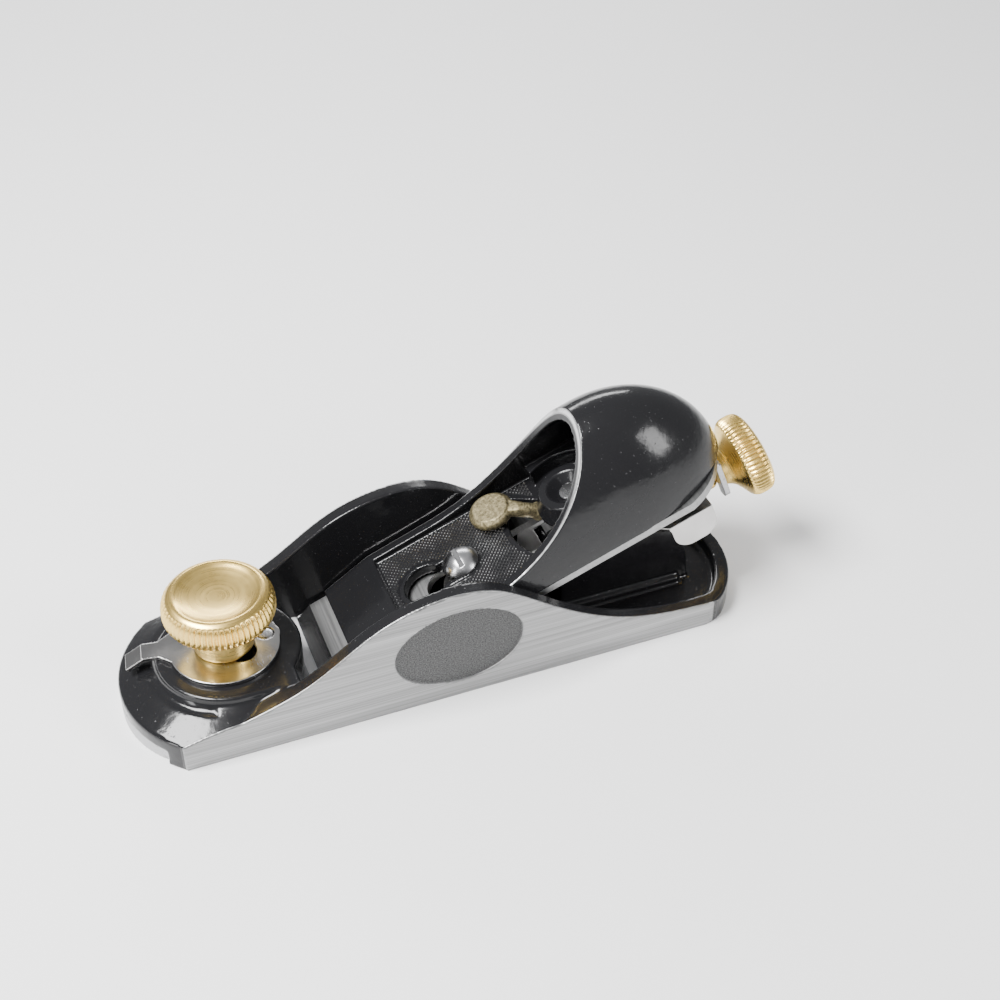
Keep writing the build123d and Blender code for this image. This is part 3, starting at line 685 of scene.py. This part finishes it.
def screws():
    centre = on_bed(0, 0, ROD_N)
    rod_metal = brass("screw_brass", (0.84, 0.58, 0.17), centre, ALONG_BED)
    parts = [threaded("rod_thread", 2.28, 0.42, 1.0, 76.4, 106.8, centre, ALONG_BED)]
    profile = [(0.05, 107.02), (3.3, 107.05), (3.6, 107.4), (3.6, 110.3), (3.3, 110.62), (2.9, 110.66),
               (2.88, 112.5), (2.3, 112.6), (2.28, 117.4), (0.05, 117.5)]
    parts.append(lathe("rod_collar", profile, centre, ALONG_BED, sides=64))
    profile = [(0.05, 75.98), (1.5, 76.02), (1.86, 76.5), (1.86, 107.3), (0.05, 107.4)]
    parts.append(lathe("rod_core", profile, centre, ALONG_BED, sides=48))
    stands_for(joined("adjusting_rod", parts), rod_metal, "depth_wheel", "screw_brass", "adjusting_screw")
    stud_metal = zinc("stud_steel", (0.48, 0.48, 0.49), 0.30, 0.42)
    place = Vector((STUD_X, 0, 0)) * MM
    parts = [threaded("stud_thread", 2.98, 0.45, 1.0, 8.5, 22.9, place, UPRIGHT)]
    profile = [(0.05, 0.2), (2.9, 0.22), (2.95, 1.0), (3.0, 3.4), (4.3, 3.45), (4.5, 3.75), (4.0, 4.15),
               (3.0, 4.3), (2.97, 8.8), (2.5, 9.1), (2.5, 22.9), (2.2, 23.0), (0.05, 23.0)]
    parts.append(lathe("stud_core", profile, place, UPRIGHT, sides=64))
    stands_for(joined("toe_stud", parts), stud_metal, "mouth", "stud_steel", "toe_plate_stud")
    steel = plated("bright_steel", (0.58, 0.58, 0.59), 0.22, 0.34, 0.05, 0.00001)
    for name, voxel, body in (("cap_screw", 0.08, "clamp_screw"), ("cam_rivet", 0.05, "cap")):
        stands_for(from_cad(name, voxel * MM, 2, 120000), steel, body, "bright_steel", name)
    pivot = Vector((PIVOT_X, 0, 0)) * MM
    profile = [(0.05, 8.0), (2.05, 8.02), (2.1, 8.3), (2.1, 15.12), (1.95, 15.22), (1.2, 15.29),
               (0.05, 15.31)]
    made = lathe("eccentric_rivet", profile, pivot, UPRIGHT, sides=64)
    stands_for(made, steel, "base", "bright_steel", "eccentric_pivot")


def cam_lump(points, faces, p, t, h, radius, height):
    """Adds one upright disc with rounded rims, in the thumb lever's own turned axes."""
    turn = math.radians(-24.0)
    sides, rings = 40, 10
    start = len(points)
    for ring in range(rings + 1):
        lift = ring / rings
        bulge = math.sin(math.pi * min(max(lift, 0.06), 0.94)) ** 0.14
        for k in range(sides):
            angle = 2 * math.pi * k / sides
            a = p + radius * bulge * math.cos(angle)
            b = t + radius * bulge * math.sin(angle)
            turned_p = a * math.cos(turn) - b * math.sin(turn)
            turned_t = a * math.sin(turn) + b * math.cos(turn)
            points.append(on_bed(CAP_S + CAM_P + turned_p, turned_t, CAP_N + h + height * lift))
    for ring in range(rings):
        for k in range(sides):
            x, y = start + ring * sides + k, start + ring * sides + (k + 1) % sides
            faces.append((x, y, y + sides, x + sides))
    faces.append([start + k for k in range(sides)][::-1])
    faces.append([start + rings * sides + k for k in range(sides)])


def cam():
    """The cast thumb lever, drawn from overlapping discs that swell and narrow along its arm."""
    points, faces = [], []
    cam_lump(points, faces, 0, 0, 0.28, 5.1, 3.2)
    count = 22
    for k in range(count):
        share = k / (count - 1)
        sway = 0.55 * math.sin(2 * math.pi * share)
        rise = 0.55 + 4.0 / (1 + math.exp(-(share - 0.62) * 9))
        width = 1.75 + 0.55 * abs(2 * share - 1) ** 2
        cam_lump(points, faces, -3.5 - 13.0 * share, sway, rise, width, 2.6)
    cam_lump(points, faces, -20.8, 0, 4.15, 5.8, 3.4)
    cam_lump(points, faces, -9.6, 0.35, 0.5, 2.45, 3.1)
    made = mesh_object("cam_lever_cast", points, faces)
    softened(made, 0.15 * MM, 10, 90000)
    stands_for(made, cast_bronze(), "cam", "cam_bronze", "cam_lever")


casting()
cap()
knurl()
sheets()
iron()
knobs()
screws()
cam()

# ---------------------------------------------------------------- floor, light and camera


def floor():
    bpy.ops.mesh.primitive_plane_add(size=8, location=(0, 0, 0))
    plane = bpy.context.object
    plane.name = "floor"
    shader = Shader("floor_white", (0.93, 0.93, 0.93), 0.6)
    plane.data.materials.append(shader.material)


def softbox(name, place, aim, size, power):
    """A rectangular lamp aimed at a point."""
    lamp = bpy.data.lights.new(name, "AREA")
    lamp.shape = "RECTANGLE"
    lamp.size, lamp.size_y = size
    lamp.energy = power
    holder = bpy.data.objects.new(name, lamp)
    bpy.context.scene.collection.objects.link(holder)
    holder.location = place
    holder.rotation_euler = (Vector(aim) - Vector(place)).to_track_quat("-Z", "Y").to_euler()


def light():
    world = bpy.data.worlds.new("studio")
    world.use_nodes = True
    sky = world.node_tree.nodes["Background"]
    sky.inputs["Color"].default_value = (0.95, 0.96, 0.98, 1)
    sky.inputs["Strength"].default_value = 0.40
    bpy.context.scene.world = world
    softbox("key", (0.34, 0.02, 0.62), (0, 0, 0.02), (0.34, 0.22), 13.5)
    softbox("fill", (-0.55, 0.55, 0.42), (0, 0, 0.02), (0.25, 0.42), 4.5)
    softbox("back", (-0.20, -0.80, 0.42), (0, 0, 0.03), (0.55, 0.14), 3.5)
    softbox("toe", (0.75, 0.25, 0.30), (0, 0, 0.02), (0.12, 0.36), 2.0)


def camera():
    """The camera stands to the body as the photograph's did."""
    turn = math.radians(21.31)
    height = math.radians(39.64)
    distance, right_shift, up_shift = 0.4070, 0.01619, 0.03373
    back = Vector((math.sin(turn) * math.cos(height), math.cos(turn) * math.cos(height), math.sin(height)))
    right = Vector((-math.cos(turn), math.sin(turn), 0))
    up = back.cross(right)
    lens = bpy.data.cameras.new("camera")
    lens.lens = 57.6
    lens.sensor_width = 36.0
    lens.clip_start = 0.01
    holder = bpy.data.objects.new("camera", lens)
    bpy.context.scene.collection.objects.link(holder)
    place = back * distance + right * right_shift + up * up_shift
    turn_matrix = Matrix((right, up, back)).transposed().to_4x4()
    holder.matrix_world = Matrix.Translation(place) @ turn_matrix
    bpy.context.scene.camera = holder


floor()
light()
camera()
